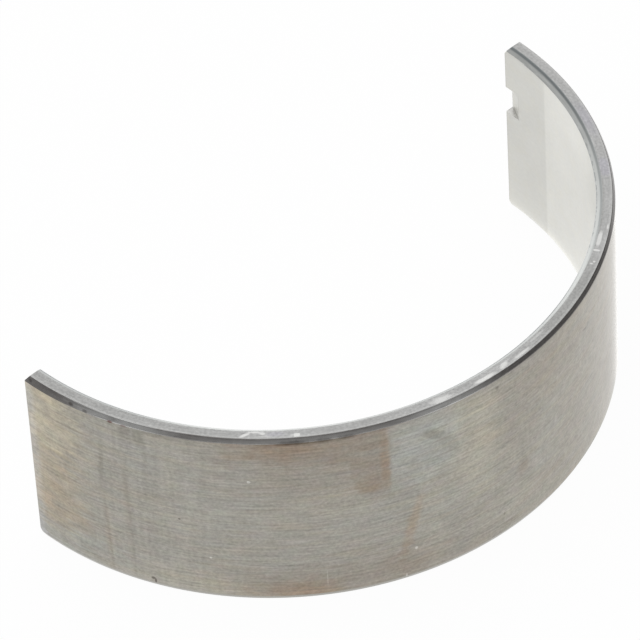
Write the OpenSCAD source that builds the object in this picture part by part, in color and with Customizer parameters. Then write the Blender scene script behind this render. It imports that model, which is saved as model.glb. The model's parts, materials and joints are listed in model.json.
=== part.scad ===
// Plain half shell for an engine main bearing, rolled from lined steel strip.
// It is drawn free, before it is squeezed into its housing: axis along Z, crown
// towards -Y, parting faces close to the plane Y = 0, mid-width at Z = 0.

/* [Shell] */
// Bore of the housing that the shell is squeezed into
housing_d = 88; // [60:0.5:120]
// Width along the crankshaft
shell_w = 28.8; // [22:0.2:45]
// Wall thickness
wall_t = 2.5; // [1.8:0.05:4]
// How much wider the free shell is across its ends than the housing
free_spread = 0.6; // [0.1:0.1:2]
// How far each parting face stands proud of a half circle, for the cap to crush
crush_h = 0.03; // [0:0.01:0.15]

/* [Edge chamfers] */
// Radial leg of the chamfer on the edges of the back
back_chamfer_r = 0.3; // [0.1:0.05:0.6]
// Axial leg of the chamfer on the edges of the back
back_chamfer_z = 0.65; // [0.1:0.05:1]
// Radial leg of the chamfer on the edges of the bore
bore_chamfer_r = 0.75; // [0.1:0.05:1]
// Axial leg of the chamfer on the edges of the bore
bore_chamfer_z = 0.6; // [0.1:0.05:1.5]

/* [Parting ends] */
// Length of the relieved bore beside each parting face, along the arc
relief_l = 8.3; // [4:0.1:14]
// Depth of the relief at the parting face
relief_d = 0.05; // [0.01:0.01:0.15]
// Leg of the chamfer that breaks both edges of a parting face
end_chamfer = 0.1; // [0.05:0.05:0.5]
// Length of the cut on the four corners of the strip, along the arc
corner_l = 0.8; // [0.2:0.1:2]
// Height of the cut on those corners, along the crankshaft
corner_w = 1.1; // [0.2:0.1:2]

/* [Locating tang] */
// Width of the tang along the crankshaft
tang_w = 4.45; // [3:0.05:7]
// Distance from the tang's upper side to the shell's upper edge
tang_edge = 7.1; // [3:0.1:12]
// How far the tang is pushed out of the wall at the parting face
tang_h = 1.4; // [0.6:0.05:1.6]
// Length of the ramp from the parting face back to the plain wall
tang_l = 2.65; // [1.5:0.05:6]
// How far the tang's end is set back from the parting face
tang_setback = 0.15; // [0.05:0.05:0.5]

/* [Hidden] */
$fn = 180;

// Free radii: the arc opens by half the spread on each side
back_r = (housing_d + free_spread) / 2;
bore_r = back_r - wall_t;

// The back keeps the length of the housing's half circle and the crush, on a wider arc
half_arc = 90 * housing_d / 2 / back_r + (crush_h / back_r) * 180 / PI;

// Relief: the bore's own cylinder, moved along the wall until its end is relief_d deep
relief_arc = relief_l / bore_r * 180 / PI;
relief_shift = relief_d / sin(relief_arc);
relief_start = half_arc - relief_arc;

// The tang's span in height
tang_top = shell_w / 2 - tang_edge;
tang_bottom = tang_top - tang_w;

// Overlap that takes every cut clear through its faces
cut_through = 1;
// Depth to which the tang's wedge is rooted in the wall
tang_root = wall_t / 2;

shell_steel = [0.66, 0.64, 0.6];

// Direction along the arc at an angle from the crown, positive towards +X
function arc_tangent(angle) = [cos(angle), sin(angle), 0];

// Radial place of a circle of radius r at a distance back from a parting face
function chord_x(r, back) = sqrt(r * r - back * back);

// Wall section in radius and height, with a chamfer on each of its four edges
module wall_section() {
    half_w = shell_w / 2;
    upper = [
        [back_r, half_w - back_chamfer_z],
        [back_r - back_chamfer_r, half_w],
        [bore_r + bore_chamfer_r, half_w],
        [bore_r, half_w - bore_chamfer_z]
    ];
    lower = [for (i = [3:-1:0]) [upper[i][0], -upper[i][1]]];
    polygon(concat(upper, lower));
}

module half_ring() {
    rotate_extrude(angle = 2 * half_arc, start = -90 - half_arc) wall_section();
}

// Shallow clearance in the bore that runs out to nothing at relief_start
module bore_relief(side) {
    translate(relief_shift * side * arc_tangent(side * relief_start))
        cylinder(r = bore_r, h = shell_w + 2 * cut_through, center = true);
}

// Puts a flat shape on a parting face: X is radial, -Y runs back along the wall
module at_end(side) {
    mirror([side < 0 ? 1 : 0, 0, 0]) rotate([0, 0, half_arc - 90]) children();
}

// Broken edges of a parting face, on the bore side and on the back
module end_chamfers() {
    edge_in = bore_r + relief_d;
    reach = end_chamfer + cut_through;
    linear_extrude(height = shell_w + 2 * cut_through, center = true) {
        polygon([[edge_in + reach, cut_through], [edge_in - cut_through, cut_through],
                 [edge_in - cut_through, -reach]]);
        polygon([[back_r - reach, cut_through], [back_r + cut_through, cut_through],
                 [back_r + cut_through, -reach]]);
    }
}

// Slanted cuts on the strip's corners, at the upper and the lower edge
module corner_cuts() {
    half_w = shell_w / 2;
    for (edge = [0, 1]) mirror([0, 0, edge])
        translate([bore_r - cut_through, 0, 0]) rotate([90, 0, 90])
            linear_extrude(height = wall_t + 2 * cut_through)
                polygon([[-2 * corner_l, half_w + corner_w], [corner_l, half_w - 2 * corner_w],
                         [corner_l, half_w + corner_w]]);
}

// Wedge that the press pushed out of the back
module tang_lug() {
    heel = chord_x(back_r, tang_l);
    translate([0, 0, tang_bottom]) linear_extrude(height = tang_w)
        polygon([[back_r + tang_h, -tang_setback], [back_r - tang_root, -tang_setback],
                 [back_r - tang_root, -tang_l], [heel, -tang_l]]);
}

// Wedge that the punch left in the bore, and the set-back of the pressed end
module tang_recess() {
    heel = chord_x(bore_r, tang_l);
    mouth = back_r + tang_h + cut_through;
    translate([0, 0, tang_bottom]) linear_extrude(height = tang_w) {
        polygon([[bore_r + tang_h, -tang_setback], [heel, -tang_l],
                 [bore_r - cut_through, -tang_l], [bore_r - cut_through, -tang_setback]]);
        polygon([[bore_r - cut_through, cut_through], [bore_r - cut_through, -tang_setback],
                 [mouth, -tang_setback], [mouth, cut_through]]);
    }
}

module bearing_shell() {
    color(shell_steel) difference() {
        union() {
            difference() {
                half_ring();
                for (side = [-1, 1]) {
                    bore_relief(side);
                    at_end(side) {
                        end_chamfers();
                        corner_cuts();
                    }
                }
            }
            at_end(1) tang_lug();
        }
        at_end(1) tang_recess();
    }
}

bearing_shell();
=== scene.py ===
"""Looks of a plain engine bearing shell, laid out as an add-on and run as a script.

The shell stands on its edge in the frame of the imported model: the bore's axis is Z, the crown of
the arc points to -Y and the end with the locating tang is at +X.
"""

import json
import math
from collections import namedtuple
from types import SimpleNamespace

import bpy
from bpy.props import FloatProperty, FloatVectorProperty, PointerProperty
from mathutils import Matrix, Vector


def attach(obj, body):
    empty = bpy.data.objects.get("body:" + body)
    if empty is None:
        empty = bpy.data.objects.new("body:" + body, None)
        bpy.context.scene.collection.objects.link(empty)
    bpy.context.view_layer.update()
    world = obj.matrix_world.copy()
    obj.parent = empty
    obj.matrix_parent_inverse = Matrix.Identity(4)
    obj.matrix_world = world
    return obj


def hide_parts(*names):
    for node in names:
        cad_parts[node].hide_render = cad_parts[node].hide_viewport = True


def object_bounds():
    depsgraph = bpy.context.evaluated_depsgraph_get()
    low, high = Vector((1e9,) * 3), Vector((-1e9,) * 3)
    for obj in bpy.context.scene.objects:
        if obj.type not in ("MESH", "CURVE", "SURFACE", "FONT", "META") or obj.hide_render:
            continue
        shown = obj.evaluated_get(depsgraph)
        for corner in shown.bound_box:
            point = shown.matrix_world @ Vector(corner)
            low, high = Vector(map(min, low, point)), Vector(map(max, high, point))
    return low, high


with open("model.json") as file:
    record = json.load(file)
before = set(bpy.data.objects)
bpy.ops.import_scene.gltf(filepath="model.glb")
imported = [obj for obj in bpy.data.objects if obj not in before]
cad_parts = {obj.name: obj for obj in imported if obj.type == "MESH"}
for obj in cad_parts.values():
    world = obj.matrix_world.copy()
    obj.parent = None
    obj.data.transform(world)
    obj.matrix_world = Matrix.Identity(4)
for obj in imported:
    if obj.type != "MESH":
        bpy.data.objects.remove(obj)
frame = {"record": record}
cad_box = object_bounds()

bl_info = {
    "name": "Engine Bearing Shell",
    "version": (1, 0, 0),
    "blender": (4, 5, 0),
    "location": "View3D > Sidebar > Bearing",
    "description": "Builds half of a plain engine bearing with its finishes, and a white studio",
    "category": "Object",
}

MM = 0.001
NODE = "bearing_shell"
BODY = "root"

# The mesh of the shell: steps along each stretch of the arc, and rows across the width
ARC_STEPS = (2, 12, 150, 10, 16, 3)
ROWS = 14
FIRST_TANG_ROW = 6
LAST_TANG_ROW = 7
GROWN_ROWS = (10, 11)
# Points closer than this are one point, as where the tang's end is set back
SAME_POINT = 0.001 * MM
# Edges that bend by more than this are sharp
CREASE = math.radians(8)
# The tang's ramp is followed up to this angle behind the parting face
RAMP_LIMIT = 0.2
# Shares of the half arc: where the upper chamfer's growth at the plain end has run out, and where
# the chamfer starts and stops to be narrower beside the crown, by this share of the growth
GROWTH_STOP = -0.72
NARROW_START = (-0.14, 0.04)
NARROW_STOP = (0.3, 0.5)
NARROWING = 0.26
# How far a normal points up or down on a chamfer at least, and on a flat edge at least
CHAMFER_TILT = 0.2
FLAT_TILT = 0.95
# A normal points along the arc if the squares of its other two parts sum to less than this
END_SHARE = 0.64
# A flat face no deeper than this under the shell's upper or lower edge belongs to that edge
EDGE_DEPTH = 0.2 * MM


def packed_mount(name):
    """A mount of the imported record, by its name."""
    return next(m for m in frame["record"]["mounts"] if m["name"] == name)


def shown(red, green, blue):
    """A colour as the screen shows it, from 0 to 255, as the linear values that Blender uses."""
    def linear(level):
        part = level / 255
        return part / 12.92 if part <= 0.04045 else ((part + 0.055) / 1.055) ** 2.4
    return (linear(red), linear(green), linear(blue))


# Sizes that the frame gives
BACK_RADIUS = packed_mount("housing_seat")["dims"]["r_mm"] * MM
BORE_RADIUS = packed_mount("journal_bore")["dims"]["r_mm"] * MM
WIDTH = cad_box[1].z - cad_box[0].z
TANG_HEIGHT = cad_box[1].x - BACK_RADIUS
END_NORMAL = packed_mount("tang_parting_face")["axis"]
HALF_ARC = math.atan2(END_NORMAL[1], END_NORMAL[0])


# Settings

def length(name, description, metres):
    """A size in metres."""
    return FloatProperty(name=name, description=description, default=metres, unit="LENGTH",
                         precision=5)


def angle(name, description, radians):
    """An angle in radians."""
    return FloatProperty(name=name, description=description, default=radians, subtype="ANGLE")


def colour(name, description, linear):
    """A colour in linear values."""
    return FloatVectorProperty(name=name, description=description, default=linear, size=3,
                               subtype="COLOR", min=0.0, max=1.0)


def amount(name, description, default):
    """A plain number from zero up."""
    return FloatProperty(name=name, description=description, default=default, min=0.0)


class ShellSizes(bpy.types.PropertyGroup):
    """Sizes of the shell in its free state."""

    back_radius: length("Back Radius", "Outer radius of the free shell", BACK_RADIUS)
    bore_radius: length("Bore Radius", "Inner radius of the free shell", BORE_RADIUS)
    width: length("Width", "Width along the crankshaft", WIDTH)
    half_arc: angle("Half Arc", "Angle from the crown to each parting face", HALF_ARC)
    back_chamfer_out: length("Back Chamfer Out", "Radial leg of the back's chamfers", 0.3 * MM)
    back_chamfer_up: length("Back Chamfer Up", "Axial leg of the back's chamfers", 0.65 * MM)
    back_chamfer_growth: length("Back Chamfer Growth", "Extra axial leg at the plain end, above",
                                0.38 * MM)
    bore_chamfer_out: length("Bore Chamfer Out", "Radial leg of the bore's chamfers", 0.78 * MM)
    bore_chamfer_up: length("Bore Chamfer Up", "Axial leg of the bore's chamfers", 0.6 * MM)
    edge_break: length("Edge Break", "Worn flat along each sharp edge", 0.06 * MM)
    relief_length: length("Relief Length", "Relieved length of the bore at each end", 8.5 * MM)
    relief_depth: length("Relief Depth", "Depth of the relief at the parting face", 0.05 * MM)
    end_chamfer: length("End Chamfer", "Leg of the parting faces' broken edges", 0.1 * MM)
    corner_length: length("Corner Length", "Cut on the strip's corners, along the arc", 0.8 * MM)
    corner_height: length("Corner Height", "Cut on the strip's corners, upwards", 1.1 * MM)
    tang_width: length("Tang Width", "Width of the locating tang", 4.45 * MM)
    tang_edge: length("Tang Edge", "From the tang up to the shell's upper edge", 7.1 * MM)
    tang_height: length("Tang Height", "How far the tang stands out of the back", TANG_HEIGHT)
    recess_depth: length("Recess Depth", "How deep the punch went into the bore", 1.18 * MM)
    tang_length: length("Tang Length", "Length of the tang's ramp along the wall", 2.65 * MM)
    tang_setback: length("Tang Setback", "From the tang's end to the parting face", 0.15 * MM)
    shear_gap: length("Shear Gap", "Lean of the tang's sheared sides", 0.02 * MM)


class ShellColours(bpy.types.PropertyGroup):
    """Colours of the shell's surfaces, in plain white light."""

    steel_back: colour("Steel Back", "Brushed steel of the back", shown(156, 153.2, 145.5))
    # Painted shade: the chamfer's colour is darker than its steel, for the dark reflection the upper
    # chamfer shows
    dark_chamfer: colour("Dark Chamfer", "Turned chamfer of the back", shown(134, 131, 129))
    edge_face: colour("Edge Face", "Faced edge of the wall", shown(176, 176, 175))
    lining: colour("Lining", "Satin lining of the bore", shown(222.5, 222, 216.8))
    lining_chamfer: colour("Lining Chamfer", "Chamfer cut into the lining", shown(204, 206, 204))
    bond: colour("Bond Line", "Dark bond between lining and steel", shown(102, 108, 110))
    cut_steel: colour("Cut Steel", "Steel of the parting faces", shown(182, 181, 178))
    worn: colour("Worn Metal", "Bright rubbed metal", shown(220, 220, 218))


class StudioSettings(bpy.types.PropertyGroup):
    """The camera and the white studio."""

    azimuth: angle("Azimuth", "Turn of the camera about the bore's axis", math.radians(-41.37))
    elevation: angle("Elevation", "Height of the camera's view", math.radians(43.72))
    roll: angle("Roll", "Tilt of the picture", math.radians(-3.57))
    distance: length("Distance", "From the camera to the aim", 799.10 * MM)
    aside: length("Aside", "Camera's place to the right of the aim", -6.98 * MM)
    above: length("Above", "Camera's place above the aim", 3.23 * MM)
    lens: FloatProperty(name="Lens", description="Focal length of the camera", default=345.4,
                        unit="CAMERA")
    floor: colour("Floor", "Plain pale floor", (0.86, 0.86, 0.86))
    card: amount("Card", "Extra light from a white card on the floor, right of the shell", 0.5)
    pool: length("Pool", "Radius of the floor's bright part around the shell", 95 * MM)
    tent: amount("Tent", "Light from the top of the tent", 1.0)
    horizon: amount("Horizon", "Light from the level of the horizon", 0.33)
    front: amount("Front", "Light from behind the camera, at the level of the horizon", 0.50)
    softbox_power: FloatProperty(name="Softbox Power", description="Power of the lamp overhead",
                                 default=1.3, min=0.0, unit="POWER")


# Node trees

def forward(operation):
    """An operator that adds a Math node with the signal first."""
    def apply(signal, other):
        return signal.plan.math(operation, signal, other)
    return apply


def reflected(operation):
    """The same operator with the signal second."""
    def apply(signal, other):
        return signal.plan.math(operation, other, signal)
    return apply


class Signal:
    """A node's output. Arithmetic on it adds Math nodes to its tree."""

    def __init__(self, plan, socket):
        self.plan = plan
        self.socket = socket

    def math(self, operation, *others):
        return self.plan.math(operation, self, *others)

    __add__ = forward("ADD")
    __radd__ = reflected("ADD")
    __sub__ = forward("SUBTRACT")
    __rsub__ = reflected("SUBTRACT")
    __mul__ = forward("MULTIPLY")
    __rmul__ = reflected("MULTIPLY")
    __truediv__ = forward("DIVIDE")
    __rtruediv__ = reflected("DIVIDE")
    __pow__ = forward("POWER")
    __gt__ = forward("GREATER_THAN")
    __lt__ = forward("LESS_THAN")
    at_least = forward("MAXIMUM")
    at_most = forward("MINIMUM")

    def __neg__(self):
        return self * -1.0

    def __abs__(self):
        return self.math("ABSOLUTE")

    def ramp(self, start, full):
        """Goes smoothly from 0 at start to 1 at full, which may be the lower of the two."""
        return self.plan.add("ShaderNodeMapRange", {"interpolation_type": "SMOOTHSTEP"},
                             {"Value": self, "From Min": start, "From Max": full})

    def output(self, name):
        """Another output of the same node."""
        return Signal(self.plan, self.socket.node.outputs[name])


class NodePlan:
    """Adds nodes to one tree."""

    def __init__(self, tree):
        self.tree = tree

    def add(self, kind, settings=None, sockets=(), output=0):
        """A node of that kind: its settings first, then the values or links of its sockets."""
        node = self.tree.nodes.new(kind)
        for name, value in (settings or {}).items():
            if name == "switch_items":
                for _ in range(value - len(node.index_switch_items)):
                    node.index_switch_items.new()
            else:
                setattr(node, name, value)
        pairs = sockets.items() if isinstance(sockets, dict) else enumerate(sockets)
        for key, value in pairs:
            socket = node.inputs[key]
            if isinstance(value, Signal):
                self.tree.links.new(value.socket, socket)
            elif socket.type == "RGBA":
                socket.default_value = (*value, 1.0)
            else:
                socket.default_value = value
        return Signal(self, node.outputs[output]) if node.outputs else None

    def math(self, operation, *terms):
        return self.add("ShaderNodeMath", {"operation": operation}, terms)

    def vector(self, *parts):
        return self.add("ShaderNodeCombineXYZ", {}, parts)

    def mix(self, factor, first, second, blend="MIX"):
        """A mix of two colours."""
        return self.add("ShaderNodeMix", {"data_type": "RGBA", "blend_type": blend},
                        {0: factor, 6: first, 7: second}, output=2)


# The shell's mesh

def size_properties():
    """The properties of ShellSizes that a user sets."""
    return [p for p in ShellSizes.bl_rna.properties if p.identifier not in ("rna_type", "name")]


def section_rows(size, wall, lean, leg_out, leg_up):
    """Radius and height of each row on one side of the wall, from the lower edge up.

    lean is 1 on the bore and -1 on the back: the way in which its chamfers cut into the wall.
    """
    half = size.width / 2
    ease = size.edge_break / (leg_out * leg_out + leg_up * leg_up).math("SQRT")
    lower = [
        (wall + lean * (leg_out + size.edge_break), -half),
        (wall + lean * leg_out * (1 - ease), leg_up * ease - half),
        (wall + lean * leg_out * ease, leg_up * (1 - ease) - half),
        (wall, leg_up + size.edge_break - half),
        (wall, size.corner_height - half),
    ]
    tang_top = half - size.tang_edge
    tang_bottom = tang_top - size.tang_width
    lean_by = size.shear_gap / 2
    tang = [
        (wall, tang_bottom - lean_by),
        (wall, tang_bottom + lean_by),
        (wall, tang_top - lean_by),
        (wall, tang_top + lean_by),
    ]
    upper = [(out, -up) for out, up in reversed(lower)]
    return lower + tang + upper


def station_angle(plan, size, station):
    """Angle from the crown at a station, with stations where the chamfers, relief and tang start."""
    bevel = size.end_chamfer / size.back_radius
    relief = size.relief_length / size.bore_radius
    heel = (size.tang_length / size.bore_radius).math("ARCSINE")
    end = size.half_arc
    stops = (bevel - end, relief - end, end - relief, end - heel, end - bevel, end)
    turn = -end
    start = -end
    first = 0
    for stop, steps in zip(stops, ARC_STEPS):
        part = {"Value": station, "From Min": first, "From Max": first + steps,
                "To Min": 0.0, "To Max": stop - start}
        turn = turn + plan.add("ShaderNodeMapRange", {}, part)
        start = stop
        first += steps
    return turn


def tang_radius(size, wall, height, behind):
    """Radius of the tang's flat ramp at an angle behind the parting face, never under the wall."""
    heel = (wall * wall - size.tang_length * size.tang_length).math("SQRT")
    slope = (wall + height - heel) / (size.tang_length - size.tang_setback)
    near = behind.at_most(RAMP_LIMIT).at_least(size.tang_setback / wall)
    ramp = (heel + slope * size.tang_length) / (near.math("COSINE") + slope * near.math("SINE"))
    return ramp.at_least(wall)


def chamfer_growth(size, turn):
    """How much longer the back's upper chamfer is at an angle from the crown."""
    grown = 1 - turn.ramp(-size.half_arc, GROWTH_STOP * size.half_arc)
    narrow = turn.ramp(*(share * size.half_arc for share in NARROW_START))
    narrow = narrow * (1 - turn.ramp(*(share * size.half_arc for share in NARROW_STOP)))
    return (grown - NARROWING * narrow) * size.back_chamfer_growth


def bent_block(plan, size):
    """A block of stations, two sides and rows, bent and shaped into the shell."""
    stations = sum(ARC_STEPS) + 1
    block = plan.add("GeometryNodeMeshCube", {}, {"Vertices X": stations, "Vertices Y": 2,
                                                  "Vertices Z": ROWS})
    place = plan.add("GeometryNodeInputPosition")
    along = plan.add("ShaderNodeSeparateXYZ", {}, [place])
    turn = station_angle(plan, size, (along + 0.5) * (stations - 1))
    on_back = along.output("Y") > 0.0
    row = ((along.output("Z") + 0.5) * (ROWS - 1)).math("ROUND")
    on_tang = (row > FIRST_TANG_ROW - 0.5) * (row < LAST_TANG_ROW + 0.5) * (turn > 0.0)
    behind = size.half_arc - turn

    # Radius and height on each side, with the relief and the broken edges of the parting faces
    end_edge = (1 - (size.half_arc - abs(turn)) * size.back_radius / size.end_chamfer).at_least(0.0)
    bevel = end_edge * size.end_chamfer * (1 - on_tang)
    relief_arc = size.relief_length / size.bore_radius
    shift = size.relief_depth / relief_arc.math("SINE")
    relief = (shift * (abs(turn) - size.half_arc + relief_arc).math("SINE")).at_least(0.0)
    sides = []
    for wall, lean, leg_out, leg_up, push in (
            (size.bore_radius, 1, size.bore_chamfer_out, size.bore_chamfer_up, size.recess_depth),
            (size.back_radius, -1, size.back_chamfer_out, size.back_chamfer_up, size.tang_height)):
        rows = section_rows(size, wall, lean, leg_out, leg_up)
        corners = [plan.vector(out, up, 0.0) for out, up in rows]
        pick = plan.add("GeometryNodeIndexSwitch",
                        {"data_type": "VECTOR", "switch_items": ROWS}, [row] + corners)
        out = plan.add("ShaderNodeSeparateXYZ", {}, [pick])
        up = out.output("Y")
        if lean > 0:
            out = out.at_least(wall + relief + bevel)
        else:
            out = out.at_most(wall - bevel)
            grown = (row > GROWN_ROWS[0] - 0.5) * (row < GROWN_ROWS[-1] + 0.5)
            up = up - grown * chamfer_growth(size, turn)
        pushed = tang_radius(size, wall, push, behind)
        sides.append((out + on_tang * (pushed.at_least(out) - out), up))
    (bore_out, bore_up), (back_out, back_up) = sides
    out = bore_out + on_back * (back_out - bore_out)
    up = bore_up + on_back * (back_up - bore_up)

    # The strip's corners are cut off, and the tang's own end is set back from the parting face
    above = (abs(up) - size.width / 2 + size.corner_height) / size.corner_height
    cut = size.corner_length * above.at_least(0.0) / out
    near_end = (1 - (size.half_arc - abs(turn)) / relief_arc).at_least(0.0)
    turn = turn - turn.math("SIGN") * cut * near_end
    set_back = size.half_arc - size.tang_setback / out
    turn = turn + on_tang * (turn.at_most(set_back) - turn)
    bent = plan.vector(out * turn.math("SINE"), -out * turn.math("COSINE"), up)
    shaped = plan.add("GeometryNodeSetPosition", {}, {"Geometry": block, "Position": bent})
    joined = plan.add("GeometryNodeMergeByDistance", {},
                      {"Geometry": shaped, "Distance": SAME_POINT})
    return plan.add("GeometryNodeFlipFaces", {}, [joined])


def shaded(plan, shell):
    """Smooth faces that meet sharply at every edge of the shape."""
    bend = plan.add("GeometryNodeInputMeshEdgeAngle")
    smooth = plan.add("GeometryNodeSetShadeSmooth", {"domain": "FACE"},
                      {"Geometry": shell, "Shade Smooth": True})
    return plan.add("GeometryNodeSetShadeSmooth", {"domain": "EDGE"},
                    {"Geometry": smooth, "Selection": bend > CREASE, "Shade Smooth": False})


def finished(plan, shell, size, finishes):
    """Gives each face the finish of its zone, told by where it lies and which way it points."""
    normal = plan.add("ShaderNodeSeparateXYZ", {}, [plan.add("GeometryNodeInputNormal")])
    place = plan.add("ShaderNodeSeparateXYZ", {}, [plan.add("GeometryNodeInputPosition")])
    across = place * normal.output("X") + place.output("Y") * normal.output("Y")
    outward = across / (place * place + place.output("Y") * place.output("Y")).math("SQRT")
    upright = abs(normal.output("Z"))
    at_edge = abs(place.output("Z")) > size.width / 2 - EDGE_DEPTH
    chamfered = (upright > CHAMFER_TILT) * (upright < FLAT_TILT)
    endways = (outward * outward + upright * upright) < END_SHARE
    zones = (
        ("lining", 1.0),
        ("back", outward > 0.0),
        ("back_chamfer", chamfered * (outward > 0.0)),
        ("bore_chamfer", chamfered * (outward < 0.0)),
        ("edge", (upright > FLAT_TILT) * at_edge),
        ("cut", (upright > FLAT_TILT) * (1 - at_edge)),
        ("cut", endways),
    )
    shell = plan.add("GeometryNodeRealizeInstances", {}, [shell])
    for name, zone in zones:
        sockets = {"Geometry": shell, "Material": finishes[name]}
        if isinstance(zone, Signal):
            sockets["Selection"] = zone
        shell = plan.add("GeometryNodeSetMaterial", {}, sockets)
    return shell


def shell_tree(finishes):
    """The node tree that makes the whole shell from its sizes."""
    tree = bpy.data.node_groups.new("bent_shell", "GeometryNodeTree")
    for entry in size_properties():
        tree.interface.new_socket(entry.name, in_out="INPUT", socket_type="NodeSocketFloat")
    tree.interface.new_socket("Shell", in_out="OUTPUT", socket_type="NodeSocketGeometry")
    plan = NodePlan(tree)
    inputs = plan.add("NodeGroupInput")
    size = SimpleNamespace(**{p.identifier: inputs.output(p.name) for p in size_properties()})
    shell = finished(plan, shaded(plan, bent_block(plan, size)), size, finishes)
    plan.add("NodeGroupOutput", {}, [shell])
    return tree


# Surfaces

# A grain: its size along and across in millimetres, its seed and detail, how strongly it counts,
# and what is added to that where the back is smooth and where it is dirty
Grain = namedtuple("Grain", "along across seed detail share smooth dirty",
                   defaults=(1.0, 0.0, 0.0))
# The touch of a finish: its roughness, how far the grain varies that, and the depth of the grain
Touch = namedtuple("Touch", "roughness varied depth", defaults=(0.0,))


def new_material(name):
    """An empty material and the plan of its nodes."""
    material = bpy.data.materials.new(name)
    material.use_nodes = True
    material.node_tree.nodes.clear()
    return material, NodePlan(material.node_tree)


def metal(place, base, touch, height, rougher=None):
    """Ends a surface's material in metal, whose grain has that height around zero."""
    roughness = touch.roughness + height * touch.varied
    if rougher is not None:
        roughness = roughness + rougher
    sockets = {"Base Color": base, "Roughness": roughness, "Metallic": 1.0}
    if touch.depth:
        bump = {"Strength": 1.0, "Distance": touch.depth, "Height": height}
        sockets["Normal"] = place.plan.add("ShaderNodeBump", {}, bump)
    surface = place.plan.add("ShaderNodeBsdfPrincipled", {}, sockets)
    place.plan.add("ShaderNodeOutputMaterial", {}, [surface])
    return place.material


def landmarks(sizes):
    """Sizes that the finishes follow, in millimetres, with the arc measured on the back."""
    back = sizes.back_radius / MM
    ramp = sizes.tang_length - sizes.tang_setback
    return SimpleNamespace(
        back=back,
        bore=sizes.bore_radius / MM,
        edge_out=back - sizes.back_chamfer_out / MM,
        rim=sizes.width / MM / 2,
        end=sizes.half_arc * back,
        relief=sizes.relief_length / sizes.bore_radius * back,
        tang_middle=(sizes.width / 2 - sizes.tang_edge - sizes.tang_width / 2) / MM,
        tang_half=sizes.tang_width / MM / 2,
        tang_length=sizes.tang_length / MM,
        recess_slope=sizes.recess_depth / ramp)


def new_surface(name, shell, along="arc", across="up"):
    """A new material and a point's place in millimetres: along the arc, up the width, from the axis.

    Its grains and marks run along the first and across the second of the two places named.
    """
    material, plan = new_material(name)
    spot = plan.add("ShaderNodeTexCoord", output="Object")
    x = plan.add("ShaderNodeSeparateXYZ", {}, [spot])
    y = x.output("Y")
    place = SimpleNamespace(
        material=material,
        plan=plan,
        arc=x.math("ARCTAN2", -y) * shell.back,
        up=x.output("Z") / MM,
        out=(x * x + y * y).math("SQRT") / MM)
    place.along = getattr(place, along)
    place.across = getattr(place, across)
    return place


def grain(place, kind):
    """Noise around zero on a surface."""
    spot = place.plan.vector(place.along / kind.along, place.across / kind.across, kind.seed)
    noise = place.plan.add("ShaderNodeTexNoise", {"noise_dimensions": "3D"},
                           {"Vector": spot, "Scale": 1.0, "Detail": kind.detail})
    return noise - 0.5


def grains(place, kinds):
    """The noise of several grains, by their names."""
    return SimpleNamespace(**{name: grain(place, kind) for name, kind in kinds.items()})


def weighed(noise, shares):
    """A tone around 1 made of the named noises."""
    tone = 1
    for name, share in shares.items():
        tone = tone + getattr(noise, name) * share
    return tone


def grain_tone(noise, kinds):
    """The tone that grains have by their own shares."""
    return weighed(noise, {name: kind.share for name, kind in kinds.items()})


def shade(where, start, full, share):
    """A shade that sets in from one place to another and has that share in the end."""
    return where.ramp(start, full) * share


def toned(base, tone):
    """A colour made lighter or darker by a tone around 1."""
    return tone.plan.mix(1.0, base, tone.plan.vector(tone, tone, tone), "MULTIPLY")


def tinted(base, mask, tint):
    """A colour multiplied by a tint where the mask is 1."""
    return mask.plan.mix(mask, base, tint, "MULTIPLY")


# A mark on the shell: its middle along the arc and across it, its reach each way, in millimetres,
# how strong it is, how soft its rim is from 0 to 1, how boxy it is, how far it leans along the
# arc for each millimetre across, and the arc at which it stops short
Mark = namedtuple("Mark", "arc up arc_reach up_reach strength rim square lean stop",
                  defaults=(0.8, 2.0, 0.0, None))
# How ragged the end of a mark that stops short is, and how its edge lies about that end
STOP_RAG = 0.3
STOP_EDGE = (-0.5, 0.4)


def marked(*rows):
    """Marks from rows of their values."""
    return [Mark(*row) for row in rows]


def marks(place, rag, spots):
    """One mask for several marks, with ragged rims."""
    mask = None
    for spot in spots:
        across = place.across - spot.up
        shift = place.along - spot.arc
        if spot.lean:
            shift = shift - across * spot.lean
        along = abs(shift) / spot.arc_reach
        across = abs(across) / spot.up_reach
        away = (along ** spot.square + across ** spot.square) ** (1 / spot.square)
        here = (1 - (away + rag * spot.rim).ramp(1 - spot.rim, 1 + spot.rim)) * spot.strength
        if spot.stop is not None:
            here = here * (1 - (place.along + rag * STOP_RAG - spot.stop).ramp(*STOP_EDGE))
        mask = here if mask is None else mask.at_least(here)
    return mask
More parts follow.
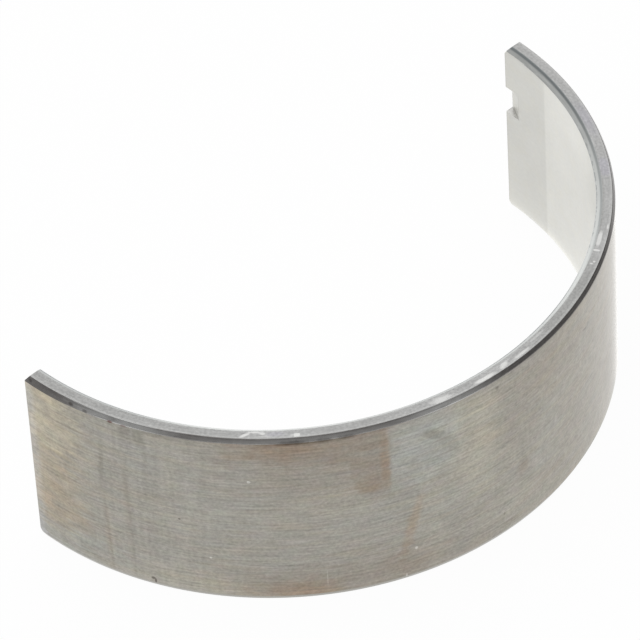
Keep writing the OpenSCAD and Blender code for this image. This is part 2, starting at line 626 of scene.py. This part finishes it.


# Stains and marks on the back, with painted sheen and painted shade among the pale and grey ones
BROWN = marked(
    (-27, 12.6, 13, 3.6, 1, 0.55, 3, 0, -19.1),
    (-21.6, 9.2, 3, 6.4, 0.95, 0.2, 3.4, -0.08, -19.1),
    (-30, 7.6, 9, 4.4, 0.45, 0.8, 2, 0, -19.1),
    (-26, -13, 14, 4, 0.68, 0.55, 2.6),
    (-12, -13.2, 8.6, 3, 0.42),
    (-9.6, -7.2, 3, 2, 0.25),
    (0.8, -4.4, 1, 1.1, 0.7, 0.7),
    (5, 9.6, 7, 4.4, 0.26),
    (-1, 4, 4, 5, 0.2),
    (-22, -9.6, 8, 2.4, 0.35),
)
RUSTY = marked(
    (-19.7, 8.4, 0.7, 4.6, 0.95, 0.6, 3, 0, -19.1),
    (-21.9, 4.7, 1.7, 1.9, 0.4, 0.8, 2, -0.6),
    (-65.6, -6, 3.2, 3.2, 0.6),
    (-61.8, -7.8, 2.4, 1.2, 0.35),
    (-65.2, 0, 2.8, 2.4, 0.4),
    (-31.5, -12.9, 6, 1.3, 0.75, 0.7),
    (-16.6, -4.8, 0.75, 4.6, 0.85, 0.7, 2, 0.26),
    (-33, 12.2, 6, 1.8, 0.6),
    (-53.9, -3, 0.5, 8, 0.22, 0.9),
    (-57, -8.6, 0.5, 5.6, 0.35, 0.9),
)
TAN = marked(
    (-68.4, 8, 8.2, 8.6, 0.82, 0.45, 3),
    (-68.6, -3, 7.2, 8.4, 0.95, 0.45, 3),
)
COOL = marked(
    (-14.6, 7.8, 5, 5.2, 1, 0.45, 3),
    (-63, -13.2, 7, 4, 0.6, 0.5, 2.4, 0.6),
    (-51.2, 8, 1.7, 5, 0.35),
    (-17, 0, 4, 5, 0.25),
    (-11, -4, 6, 3, 0.3),
    (5.4, -3, 3.4, 3.4, 0.5),
    (6.4, 3.4, 2.8, 4.6, 0.35),
    (-41, 3, 6.4, 7, 0.25),
)
PALE_AND_SHEEN = marked(
    (-7, 6, 3.6, 9.5, 0.9, 0.65, 2.6),
    (-67, 12.2, 6, 3, 0.8, 0.7),
    (-66, 6.6, 3.4, 3.2, 1.4, 0.7),
    (-68.2, -4, 1.6, 3, 0.5),
    (-27, 3.2, 5, 1.6, 0.4),
    (-45, -12.8, 6, 2.4, 0.85),
    (-29, 0.6, 8, 1.2, 0.25),
    (-47, 0, 8, 2, 0.2),
    (-47.6, 8, 0.9, 4, 0.35),
    (-13.6, -4.4, 1.8, 8, 0.35),
    (-11.6, 10.4, 1.3, 1.6, 0.35),
    (-2.4, -1.8, 2.6, 1.6, 0.4),
    (-2, -9.4, 4, 2.8, 0.35),
    # Painted sheen: lighter by the right limb
    (29.4, -6, 3.6, 9, 0.24, 0.9),
)
GREY_AND_SHADE = marked(
    (-57.3, 4.4, 0.34, 3.2, 0.6, 0.8, 3, 0.06),
    (-56.9, -8.4, 0.18, 5.2, 0.5, 0.8, 3, -0.03),
    (-53.9, 3, 0.34, 2.6, 0.45, 0.8, 3),
    (-53.5, -7.6, 0.18, 6, 0.28, 0.8, 3),
    (-50.7, 7.6, 0.26, 5.6, 0.35, 0.8, 3),
    (-29, 13.6, 5.6, 0.4, 1),
    (-50, 13.4, 5, 0.4, 0.4),
    (-53.3, 12.6, 0.9, 0.9, 0.75, 0.5),
    (-51.5, 12.2, 0.9, 1.3, 0.85, 0.5),
    (-13, 9.8, 1.1, 1.3, 0.6, 0.5, 2, -0.9),
    (-10.9, 7.2, 1.1, 2, 0.6, 0.5, 2, -0.5),
    (24, -6, 2.2, 4.2, 0.85, 0.9),
    (22.8, 2.4, 1.8, 3, 0.5, 0.9),
    (-55.8, 3.4, 1, 3.2, 0.28),
    (-21, 1.6, 3.2, 1.2, 0.25),
    (-17.6, -2, 1.2, 3.4, 0.22),
    (22.8, 9, 1, 0.8, 0.25),
    (-63, 9.4, 3.8, 0.16, 0.8, 0.6, 3),
    (-64.6, 3.2, 2.8, 0.3, 0.5),
    (-63.2, -0.6, 3.4, 0.4, 0.25),
    (-65.4, -2.8, 2.6, 0.22, 0.55),
    (-65.4, -10.6, 4.2, 4, 0.2, 0.9),
    # Painted shade: a darker band left of the right limb
    (19, -6.4, 6, 4.4, 0.14, 0.9),
)
DARK_SPECKS = marked(
    (-68.1, 13.88, 0.34, 0.2, 0.7, 0.5),
    (-61.2, 13.85, 0.38, 0.22, 0.8, 0.5),
    (-59, 13.72, 0.38, 0.2, 0.7, 0.5),
    (-51, -13, 0.3, 0.22, 0.9, 0.4),
    (-50.7, -13.4, 0.16, 0.4, 0.9, 0.4),
    (-46.7, -0.9, 0.17, 0.17, 0.7, 0.4),
    (15.2, 8.4, 0.4, 0.16, 0.5, 0.4, 2, -1),
    (-2.8, -10.6, 0.16, 0.2, 0.5, 0.4),
    (-3.3, 12.4, 0.26, 0.3, 0.5, 0.5),
    (-31.4, 13.7, 1.9, 0.32, 0.75, 0.6),
    (-27.6, 13.65, 1.1, 0.3, 0.55, 0.6),
    (-24.6, 13.68, 1, 0.28, 0.6, 0.6),
)
RED_SPECKS = marked(
    (-55.3, 13.6, 0.36, 0.2, 0.9, 0.5),
    (-53.4, 13.62, 0.4, 0.18, 0.5, 0.6),
)
WHITE_SPECKS = marked(
    (-37.3, 7, 0.24, 0.2, 0.9, 0.4),
    (-42.9, -7.2, 0.16, 0.16, 0.7, 0.4),
    (-16.2, -9.2, 0.18, 0.24, 0.9, 0.4),
    (-17.7, -13.6, 0.12, 0.3, 0.7, 0.4),
    (-28.1, -11, 0.08, 1.3, 0.35, 0.6),
    (7.4, -1.4, 0.3, 0.2, 0.25, 0.6),
)

# What each kind of mark does to the steel's colour: stains, hues, painted sheen and painted shade
BROWN_TINT = (0.85, 0.785, 0.75)
RUSTY_TINT = (1.00, 0.90, 0.82)
TAN_TINT = (1.13, 1.075, 0.975)
COOL_TINT = (1.045, 1.095, 1.135)
PALE_AND_SHEEN_TINT = (1.175, 1.165, 1.11)
GREY_AND_SHADE_TINT = (0.76, 0.75, 0.73)
DARK_TINT = (0.35, 0.33, 0.32)
RED_TINT = (0.45, 0.27, 0.27)
WHITE_TINT = (1.8, 1.85, 1.95)
WARM_TINT = (1.05, 1.0, 0.93)
SMOOTH_TINT = (1.025, 1.005, 0.98)
LIMB_TINT = (1.03, 1.0, 0.96)
PLAIN_END_BAND_TINT = (1.12, 1.16, 1.29)
UNDER_RIM_SHADE_TINT = (0.84, 0.82, 0.82)

# The order in which the stains and the painted sheen and shade lie on each other, and how patchy
# each is
STAINS_AND_PAINTED_LIGHT = (
    (TAN, TAN_TINT, "calm"),
    (COOL, COOL_TINT, "patchy"),
    (PALE_AND_SHEEN, PALE_AND_SHEEN_TINT, "calm"),
    (BROWN, BROWN_TINT, "patchy"),
    (RUSTY, RUSTY_TINT, "patchy"),
    (GREY_AND_SHADE, GREY_AND_SHADE_TINT, "patchy"),
)
PATCHES = {
    "patchy": {"cloud": 2.0, "blotch": 1.5, "brushed": 1.0},
    "calm": {"cloud": 1.4, "blotch": 0.5},
}
SPECKS = ((DARK_SPECKS, DARK_TINT), (RED_SPECKS, RED_TINT), (WHITE_SPECKS, WHITE_TINT))

# Grains of the back: those that make its tone, then the streaks, the stains' rims and faint hues
BACK_GRAIN = {
    "fine": Grain(0.48, 0.38, 3, 1, 0.54, -0.1),
    "brushed": Grain(4.8, 0.31, 11, 1, 0.56, -0.36, -0.16),
    "lines": Grain(9, 0.36, 23, 0, 0.16, -0.1, 0.08),
    "blotch": Grain(2.2, 1.5, 53, 2, 0.14, 0, 0.4),
    "cloud": Grain(7, 4, 31, 3, 0.14),
    "mottled": Grain(1.3, 1.1, 73, 1, 0.14, 0.26),
}
STREAKS = Grain(0.9, 14, 71, 2, 0.36)
STAIN_RAG = Grain(3, 1, 47, 3, 2.2)
SPECK_RAG = Grain(0.3, 0.3, 59, 2)
WARM_HUE = Grain(9, 1.1, 83, 2, 0.6)
PINK_HUE = Grain(2, 1.6, 97, 2, 0.06)
YELLOW_HUE = Grain(4, 3, 101, 2, 0.06)
BACK_TOUCH = Touch(0.15, 0.15, 0.02 * MM)


def specked(place, base, rag):
    """A colour with the small specks of the back on it."""
    for spots, tint in SPECKS:
        base = tinted(base, marks(place, rag, spots), tint)
    return base


def back_colour(place, base, noise, smooth):
    """The back's colour with its stains, specks, faint hues, a pale end band, painted sheen and
    shade.
    """
    rag = grain(place, STAIN_RAG) * STAIN_RAG.share + noise.brushed
    spreads = {name: weighed(noise, shares) for name, shares in PATCHES.items()}
    for spots, tint, patches in STAINS_AND_PAINTED_LIGHT:
        stain_and_painted_light = marks(place, rag, spots) * spreads[patches]
        base = tinted(base, stain_and_painted_light.at_least(0.0).at_most(1.0), tint)
    base = specked(place, base, grain(place, SPECK_RAG))
    warm = grain(place, WARM_HUE).ramp(-0.1, 0.25) * WARM_HUE.share
    base = tinted(base, warm, WARM_TINT)
    pink = grain(place, PINK_HUE) * PINK_HUE.share
    yellow = grain(place, YELLOW_HUE) * YELLOW_HUE.share
    hues = place.plan.vector(1 + pink + yellow, 1 - pink, 1 + pink - yellow)
    base = place.plan.mix(1.0, base, hues, "MULTIPLY")
    base = tinted(base, smooth, SMOOTH_TINT)
    limb = place.arc.ramp(16, 26)
    base = tinted(base, limb, LIMB_TINT)
    # Lighter and bluer along the last stretch of the back at the plain end
    plain_end_band = (place.arc - rag * 0.35).ramp(-67.1, -68.7)
    base = tinted(base, plain_end_band, PLAIN_END_BAND_TINT)
    # Painted shade: the back darker just under its upper rim
    under_rim_painted_shade = shade(place.up + rag * 0.2, 13.1, 13.8, 0.6)
    return tinted(base, under_rim_painted_shade, UNDER_RIM_SHADE_TINT)


def back_tone(place, noise, smooth):
    """How light the back is: its grain, the streaks on its left side and its paler foot."""
    dirty = place.arc.ramp(-56, -62)
    shares = {name: kind.share + smooth * kind.smooth + dirty * kind.dirty
              for name, kind in BACK_GRAIN.items()}
    streaky = place.arc.ramp(-34, -50) * (1 - dirty)
    streaks = grain(place, STREAKS) * streaky * STREAKS.share
    foot = place.up.ramp(-12.2, -13.6) * (0.08 + shade(place.arc, 12, 22, 0.07))
    return weighed(noise, shares) + streaks + foot


def back_finish(colours, shell):
    """Brushed steel of the back, dulled and stained by heat and oil."""
    place = new_surface("brushed_back", shell)
    noise = grains(place, BACK_GRAIN)
    smooth = place.arc.ramp(-4, 8) * (1 - place.arc.ramp(32, 44))
    base = back_colour(place, colours.steel_back, noise, smooth)
    base = toned(base, back_tone(place, noise, smooth))
    return metal(place, base, BACK_TOUCH, noise.fine + noise.brushed)


# Rubbed places on the upper edge, along the arc and by radius
RUBBED = marked(
    (-37.5, 43.36, 0.4, 0.44, 0.9, 0.35, 2, -1.24),
    (-36.2, 42.86, 1, 0.14, 0.85, 0.45),
    (-35.2, 43.04, 0.36, 0.24, 0.85, 0.4),
    (-34.9, 43.6, 0.9, 0.16, 0.35, 0.6),
    (-30.8, 43.55, 0.4, 0.31, 1, 0.2, 4),
    (-31.4, 43.5, 0.3, 0.12, 0.6, 0.5),
    (-11.3, 43.45, 1.3, 0.5, 0.75, 0.6),
    (-4.7, 43.58, 1.5, 0.3, 1, 0.4, 3),
    (-1.2, 43.3, 0.62, 0.34, 0.9, 0.4, 2.6, -0.8),
    (-1.5, 43.62, 0.6, 0.16, 0.7, 0.5),
    (1.9, 43.55, 1.3, 0.2, 0.8, 0.5, 2.6),
    (5.4, 43, 1.6, 0.14, 0.4, 0.6),
    (25.9, 43, 1.4, 0.27, 0.85, 0.3, 3),
    (23.7, 43.1, 0.17, 0.46, 1, 0.35, 3),
    (21.05, 43.08, 0.14, 0.2, 0.9, 0.4),
    (21.5, 43.36, 0.14, 0.16, 0.9, 0.4),
    (28.4, 43.7, 0.5, 0.13, 0.8, 0.4),
)
DULLED = marked(
    (-62, 43.3, 16, 3, 0.8, 0.5),
    (-22, 43.3, 7, 3, 0.5, 0.6),
    (-43, 43.3, 5, 3, 0.6, 0.6),
    (-9, 43, 3, 0.6, 0.4, 0.6),
    (13, 43.3, 8, 3, 1, 0.6),
    (33, 42.7, 5, 0.2, 0.8, 0.6),
)
LILAC = marked(
    (40.1, 43.3, 1.7, 0.7, 0.6, 0.3, 4),
    (50, 43.3, 3, 0.9, 0.5, 0.6),
    (-33.6, 43.2, 1, 0.4, 0.5, 0.6),
)
DULL_TINT = (0.84, 0.84, 0.83)
LILAC_TINT = (0.99, 0.97, 1.08)
EDGE_GRAIN = {
    "faced": Grain(0.4, 0.34, 7, 1, 0.6),
    "turned": Grain(4, 0.22, 9, 1, 0.3),
    "cloud": Grain(5, 1.2, 17, 3, 0.3),
}
EDGE_RAG = Grain(0.6, 0.4, 61, 3, 2)
FAINT_RUB = Grain(2.4, 0.6, 29, 4, 0.5)
EDGE_TOUCH = Touch(0.36, 0.3, 0.004 * MM)


def edge_finish(colours, shell):
    """Faced edge of the wall, finely mottled, rubbed bright in places, with a painted highlight on
    its outer rim.
    """
    place = new_surface("faced_edge", shell, across="out")
    noise = grains(place, EDGE_GRAIN)
    rag = grain(place, EDGE_RAG) * EDGE_RAG.share
    faint = grain(place, FAINT_RUB).ramp(0.16, 0.28) * FAINT_RUB.share
    worn = faint.at_least(marks(place, rag, RUBBED))
    # Painted highlight: a bright band along the flat's outer rim, mixed in with the rubbed places
    outer_rim_highlight = shade(place.out + rag * 0.1 - shell.edge_out, -0.45, -0.15, 0.2)
    worn = worn.at_least(outer_rim_highlight)
    base = toned(colours.edge_face, grain_tone(noise, EDGE_GRAIN))
    base = tinted(base, marks(place, rag, DULLED), DULL_TINT)
    base = tinted(base, marks(place, rag, LILAC), LILAC_TINT)
    base = place.plan.mix(worn, base, colours.worn)
    return metal(place, base, EDGE_TOUCH, noise.faced)


# Rubbed places on the upper chamfer of the back
RUBBED_CHAMFER = marked(
    (-54.2, 14.05, 6, 0.7, 0.82),
    (-30, 13.75, 14, 0.5, 0.35),
    (-10.8, 13.9, 5.6, 0.7, 0.74),
)
BACK_CHAMFER_GRAIN = {
    "turned": Grain(3, 0.16, 5, 1, 0.5),
    "mottled": Grain(0.6, 0.4, 15, 1, 0.5),
}
CHAMFER_RAG = Grain(2, 0.7, 13, 3, 2)
BACK_CHAMFER_TOUCH = Touch(0.24, 0.3)


def back_chamfer_finish(colours, shell):
    """Turned chamfer along the back's edges; the upper one has painted shade and rubbed places."""
    place = new_surface("dark_chamfer", shell)
    noise = grains(place, BACK_CHAMFER_GRAIN)
    rag = grain(place, CHAMFER_RAG) * CHAMFER_RAG.share
    worn = (marks(place, rag, RUBBED_CHAMFER) * (1 + rag)).at_least(0.0)
    base = toned(colours.dark_chamfer, grain_tone(noise, BACK_CHAMFER_GRAIN))
    base = place.plan.mix(worn.at_most(1.0), base, colours.worn)
    # Painted shade on the chamfer: darker near its top edge, towards the plain end and right of the
    # crown, not near the tang
    rim_painted_shade = shade(abs(place.up) - shell.rim, -0.16, -0.04, 0.5)
    end_painted_shade = shade(place.arc, -57, -66, 0.38)
    right_painted_shade = shade(place.arc, -6, 3, 0.2)
    dark = rim_painted_shade.at_least(end_painted_shade).at_least(right_painted_shade) * (1 - place.arc.ramp(48, 58))
    base = toned(base, 1 - dark)
    # The upper chamfer takes the painted shade colour; the lower one keeps the back's steel
    upper_edge = place.up.ramp(-1, 1)
    base = place.plan.mix(upper_edge, colours.steel_back, base)
    base = specked(place, base, noise.mottled)
    return metal(place, base, BACK_CHAMFER_TOUCH, noise.turned)


LINING_GRAIN = {
    "bored": Grain(9, 0.35, 19, 2, 0.08),
    "haze": Grain(6, 6, 37, 3, 0.12),
    "mottled": Grain(0.7, 0.5, 79, 2, 0.1),
}
LINING_HUE = Grain(2.4, 1.8, 89, 2, 0.5)
LINING_HUE_TINT = (1.01, 1.0, 0.965)
LINING_TOUCH = Touch(0.36, 0.2, 0.002 * MM)


def lining_finish(colours, shell):
    """Satin lining of the bore, with the broached relief a shade darker at both ends."""
    place = new_surface("satin_lining", shell)
    noise = grains(place, LINING_GRAIN)
    behind = shell.end - abs(place.arc)
    relieved = (behind - shell.relief).ramp(0.3, -0.3)
    last_stretch = shade(behind, 0.4, 0.1, 0.07)
    beside = (abs(place.up - shell.tang_middle) - shell.tang_half).ramp(-0.025, 0.025)
    # The tang's pressed recess: rougher, and darker as painted shade in the recess
    pressed_and_shaded = (shell.end - shell.tang_length - place.arc).ramp(0.25, 0.05) * (1 - beside)
    far_side = place.arc.ramp(26, 42)
    upper = shade(place.up, 10, 13, 0.025) * (1 - relieved) + shade(place.up, 13, 13.9, 0.05)
    dark = relieved * 0.068 + last_stretch + far_side * upper
    tone = grain_tone(noise, LINING_GRAIN) * (1 - dark) * (1 - pressed_and_shaded * 0.09)
    warm = grain(place, LINING_HUE).ramp(-0.12, 0.2) * LINING_HUE.share
    base = toned(tinted(colours.lining, warm, LINING_HUE_TINT), tone)
    rougher = relieved * 0.06 + pressed_and_shaded * 0.1
    return metal(place, base, LINING_TOUCH, noise.bored, rougher)


BORE_CHAMFER_GRAIN = {"turned": Grain(3, 0.15, 41, 2, 0.3)}
BROKEN = Grain(0.9, 0.5, 67, 3)
BORE_CHAMFER_TOUCH = Touch(0.42, 0.2)


def bore_chamfer_finish(colours, shell):
    """Chamfer cut through the lining, with the bond to the steel as a dark line at its rim."""
    place = new_surface("lining_chamfer", shell)
    noise = grains(place, BORE_CHAMFER_GRAIN)
    broken = grain(place, BROKEN)
    worn_end = place.arc.ramp(-42, -56)
    far_side = shade(place.arc, 34, 62, 0.24)
    tang_end = shade(place.arc, 58, 68, 0.2)
    crown = shade(place.arc, -32, -12, 0.24) * (1 - place.arc.ramp(2, 20))
    tone = grain_tone(noise, BORE_CHAMFER_GRAIN) + 0.04
    tone = tone - far_side - tang_end - worn_end * 0.34 - crown
    base = toned(colours.lining_chamfer, tone)

    # Depth under the rim: a dark band on the near side, cracks on the limb, and the bond line
    below = shell.rim - abs(place.up)
    near_side = 1 - place.arc.ramp(8, 24)
    sides = place.arc.ramp(-16, -6).at_least(worn_end)
    band = (below + broken * 0.2).ramp(0.36, 0.52) * near_side * (0.35 + sides * 0.6)
    limb = shade(place.arc, 20, 26, 0.4) * (1 - place.arc.ramp(44, 54))
    cracked = (below + broken * 0.5).ramp(0.46, 0.58) * limb
    drifted = below - shade(place.arc, 26, 46, 0.07)
    line = drifted.ramp(-0.14, -0.03) * (1 - drifted.ramp(0.08, 0.25))
    line = line * (shade(place.arc, 16, 32, 0.5) + shade(place.arc, 40, 58, 0.28))
    base = place.plan.mix(line.at_least(band).at_least(cracked), base, colours.bond)
    return metal(place, base, BORE_CHAMFER_TOUCH, noise.turned)


CUT_GRAIN = {"cut": Grain(0.3, 2.5, 43, 3, 0.4)}
CUT_TOUCH = Touch(0.36, 0.3, 0.003 * MM)


def cut_finish(colours, shell):
    """Parting faces and the tang's sheared sides: cut steel with the lining as a pale line."""
    place = new_surface("cut_steel", shell, along="out")
    noise = grains(place, CUT_GRAIN)
    deep = place.out - shell.bore
    behind = shell.end - abs(place.arc)
    ledge = behind.ramp(0.1, 0.2)
    lined = (1 - deep.ramp(0.36, 0.44)) * (0.8 - ledge * 0.7)
    base = place.plan.mix(lined, colours.cut_steel, colours.lining)
    # Painted light on the tang's ledge: lighter towards the bore, with painted shade towards the
    # ramp's foot
    recess = (shell.tang_length + 0.1 - behind) * shell.recess_slope
    inside = deep / recess.at_least(0.05)
    side_light = 0.36 - shade(inside, 0.3, 0.95, 0.08)
    base = toned(base, grain_tone(noise, CUT_GRAIN) + ledge * side_light)
    return metal(place, base, CUT_TOUCH, noise.cut)


FINISHES = {
    "back": back_finish,
    "back_chamfer": back_chamfer_finish,
    "edge": edge_finish,
    "lining": lining_finish,
    "bore_chamfer": bore_chamfer_finish,
    "cut": cut_finish,
}


# Operators

def plain_colours(group):
    """The colours of a property group as tuples."""
    names = group.__class__.__annotations__
    return SimpleNamespace(**{name: tuple(getattr(group, name)) for name in names})


class BEARING_OT_shell(bpy.types.Operator):
    """Make the bearing shell with its finishes"""

    bl_idname = "bearing.shell"
    bl_label = "Bearing Shell"

    def execute(self, context):
        sizes = context.scene.bearing_sizes
        colours = plain_colours(context.scene.bearing_colours)
        finishes = {name: make(colours, landmarks(sizes)) for name, make in FINISHES.items()}
        shell = bpy.data.objects.new("lined_shell", bpy.data.meshes.new("lined_shell"))
        context.scene.collection.objects.link(shell)
        modifier = shell.modifiers.new("bend", "NODES")
        modifier.node_group = shell_tree(finishes)
        values = {p.name: getattr(sizes, p.identifier) for p in size_properties()}
        for item in modifier.node_group.interface.items_tree:
            if item.in_out == "INPUT":
                modifier[item.identifier] = values[item.name]
        context.view_layer.update()
        depsgraph = context.evaluated_depsgraph_get()
        mesh = bpy.data.meshes.new_from_object(shell.evaluated_get(depsgraph))
        if not mesh.polygons:
            raise RuntimeError("the shell's node tree gave no faces")
        shell.modifiers.remove(modifier)
        shell.data = mesh
        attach(shell, BODY)
        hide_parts(NODE)
        return {"FINISHED"}


# How far in front of the bore's axis the camera aims, as a share of the back's radius
AIM_SHARE = 0.4
# Half the side of the floor in metres, and how white it shows
FLOOR_HALF = 4.0
FLOOR_WHITE = 0.96
# The floor's bright pool fades out at this many times its radius
POOL_FADE = 1.6
# The white card on the floor: where its edge meets the shell, the way across that edge, and how
# the card sets in across its edge, at the shell's back and from left to right
CARD_FOOT = (26.8 * MM, -35.3 * MM)
CARD_ACROSS = (-0.555, 0.83)
CARD_EDGE = (-0.12, 0.13)
CARD_BACK = (BACK_RADIUS - 1.3 * MM, BACK_RADIUS)
CARD_RIGHT = (20 * MM, 30 * MM)
CARD_CLEAR = 1 * MM
# Parts of a direction from which the tent is lit: by the backdrop, from above and from the front
BACKDROP = (0.3, 0.8)
OVERHEAD = (0.35, 0.8)
FRONT = (-0.4, -0.9)


def studio_camera(context, studio):
    """The camera, aimed a little in front of the bore's axis."""
    turn = studio.azimuth
    lift = studio.elevation
    away = Vector((math.sin(turn) * math.cos(lift), -math.cos(turn) * math.cos(lift),
                   math.sin(lift)))
    level = Vector((math.cos(turn), math.sin(turn), 0.0))
    upward = away.cross(level)
    right = math.cos(studio.roll) * level + math.sin(studio.roll) * upward
    top = math.cos(studio.roll) * upward - math.sin(studio.roll) * level
    aim = Vector((0.0, -AIM_SHARE * BACK_RADIUS, 0.0))
    data = bpy.data.cameras.new("studio_camera")
    data.lens = studio.lens
    data.clip_start = 0.05
    data.clip_end = 20.0
    camera = bpy.data.objects.new("studio_camera", data)
    placed = Matrix((right, top, away)).transposed().to_4x4()
    placed.translation = aim + away * studio.distance + right * studio.aside + top * studio.above
    camera.matrix_world = placed
    context.scene.collection.objects.link(camera)
    context.scene.camera = camera


def seen_directly(plan):
    """1 for rays that show the studio itself: straight, mirrored or through glass."""
    ray = plan.add("ShaderNodeLightPath", output="Is Camera Ray")
    return ray.at_least(ray.output("Is Glossy Ray")).at_least(ray.output("Is Transmission Ray"))


def facing(plan, spot, studio):
    """How far a place or direction lies behind the shell, as the camera sees it."""
    x = plan.add("ShaderNodeSeparateXYZ", {}, [spot])
    return x * -math.sin(studio.azimuth) + x.output("Y") * math.cos(studio.azimuth)


def floor_light(plan, studio):
    """How bright the floor looks: a card on the right, and less light outside the bright pool."""
    spot = plan.add("ShaderNodeTexCoord", output="Object")
    away = plan.add("ShaderNodeVectorMath", {"operation": "LENGTH"}, [spot], output="Value")
    ray = plan.add("ShaderNodeLightPath", output="Is Camera Ray")
    x = plan.add("ShaderNodeSeparateXYZ", {}, [spot])
    east = x - CARD_FOOT[0]
    north = x.output("Y") - CARD_FOOT[1]
    reach = (east * east + north * north).math("SQRT") + CARD_CLEAR
    past = (east * CARD_ACROSS[0] + north * CARD_ACROSS[1]) / reach
    card = past.ramp(*CARD_EDGE) * away.ramp(*CARD_BACK) * x.ramp(*CARD_RIGHT)
    level = 1 + card * studio.card * (1 - ray)
    far = away.ramp(studio.pool, POOL_FADE * studio.pool) * (1 - ray)
    far = far * (1 - (facing(plan, spot, studio) / away).ramp(*BACKDROP))
    return level + far * (studio.horizon - level)


def studio_floor(context, studio):
    """A wide pale floor that shows white and keeps a soft shadow."""
    ground = cad_box[0].z
    corners = [(side * FLOOR_HALF, end * FLOOR_HALF, ground)
               for side, end in ((-1, -1), (1, -1), (1, 1), (-1, 1))]
    mesh = bpy.data.meshes.new("studio_floor")
    mesh.from_pydata(corners, [], [(0, 1, 2, 3)])
    floor = bpy.data.objects.new("studio_floor", mesh)
    material, plan = new_material("pale_floor")
    level = floor_light(plan, studio)
    pale = plan.add("ShaderNodeBsdfDiffuse", {}, {"Color": tuple(studio.floor)})
    white = plan.add("ShaderNodeEmission", {}, {"Color": plan.vector(level, level, level),
                                                "Strength": 1.0})
    shown_white = seen_directly(plan) * FLOOR_WHITE
    plan.add("ShaderNodeOutputMaterial", {},
             [plan.add("ShaderNodeMixShader", {}, [shown_white, pale, white])])
    mesh.materials.append(material)
    context.scene.collection.objects.link(floor)


def studio_tent(context, studio):
    """White light from above and from the backdrop, weaker from the sides and the front."""
    world = bpy.data.worlds.new("white_tent")
    world.use_nodes = True
    world.node_tree.nodes.clear()
    plan = NodePlan(world.node_tree)
    spot = plan.add("ShaderNodeTexCoord", output="Generated")
    up = plan.add("ShaderNodeSeparateXYZ", {}, [spot], output="Z")
    behind = facing(plan, spot, studio)
    side = studio.horizon + behind.ramp(*FRONT) * (studio.front - studio.horizon)
    level = side + up.ramp(*OVERHEAD).at_least(behind.ramp(*BACKDROP)) * (studio.tent - side)
    seen = plan.add("ShaderNodeLightPath", output="Is Camera Ray")
    level = level + seen * (1 - level)
    light = plan.add("ShaderNodeBackground", {}, {"Color": plan.vector(level, level, level),
                                                  "Strength": 1.0})
    plan.add("ShaderNodeOutputWorld", {}, [light])
    context.scene.world = world


def studio_softbox(context, studio):
    """One large soft lamp overhead."""
    data = bpy.data.lights.new("softbox", "AREA")
    data.shape = "RECTANGLE"
    data.size = 0.8
    data.size_y = 0.6
    data.energy = studio.softbox_power
    lamp = bpy.data.objects.new("softbox", data)
    lamp.location = (-0.15, 0.1, 0.7)
    lamp.rotation_euler = (-lamp.location).to_track_quat("-Z", "Y").to_euler()
    lamp.visible_camera = False
    context.scene.collection.objects.link(lamp)


class BEARING_OT_studio(bpy.types.Operator):
    """Make the camera, the pale floor and the white light"""

    bl_idname = "bearing.studio"
    bl_label = "White Studio"

    def execute(self, context):
        studio = context.scene.bearing_studio
        studio_camera(context, studio)
        studio_floor(context, studio)
        studio_tent(context, studio)
        studio_softbox(context, studio)
        context.scene.view_settings.view_transform = "Standard"
        return {"FINISHED"}


class BEARING_PT_panel(bpy.types.Panel):
    """Lists the operators and the settings"""

    bl_label = "Bearing Shell"
    bl_idname = "BEARING_PT_panel"
    bl_space_type = "VIEW_3D"
    bl_region_type = "UI"
    bl_category = "Bearing"

    def draw(self, context):
        for operator in OPERATORS:
            self.layout.operator(operator.bl_idname)
        for name, (group, _) in SETTINGS.items():
            box = self.layout.box()
            for entry in group.__annotations__:
                box.prop(getattr(context.scene, name), entry)


SETTINGS = {
    "bearing_sizes": (ShellSizes, "Sizes of the bearing shell"),
    "bearing_colours": (ShellColours, "Colours of the bearing shell"),
    "bearing_studio": (StudioSettings, "Camera and light"),
}
OPERATORS = (BEARING_OT_shell, BEARING_OT_studio)


def register():
    for group, _ in SETTINGS.values():
        bpy.utils.register_class(group)
    for cls in OPERATORS + (BEARING_PT_panel,):
        bpy.utils.register_class(cls)
    for name, (group, description) in SETTINGS.items():
        setattr(bpy.types.Scene, name, PointerProperty(type=group, description=description))


def unregister():
    for name in SETTINGS:
        delattr(bpy.types.Scene, name)
    for cls in reversed(OPERATORS + (BEARING_PT_panel,)):
        bpy.utils.unregister_class(cls)
    for group, _ in SETTINGS.values():
        bpy.utils.unregister_class(group)


def main():
    register()
    bpy.ops.bearing.studio()
    bpy.ops.bearing.shell()


if __name__ == "__main__":
    main()
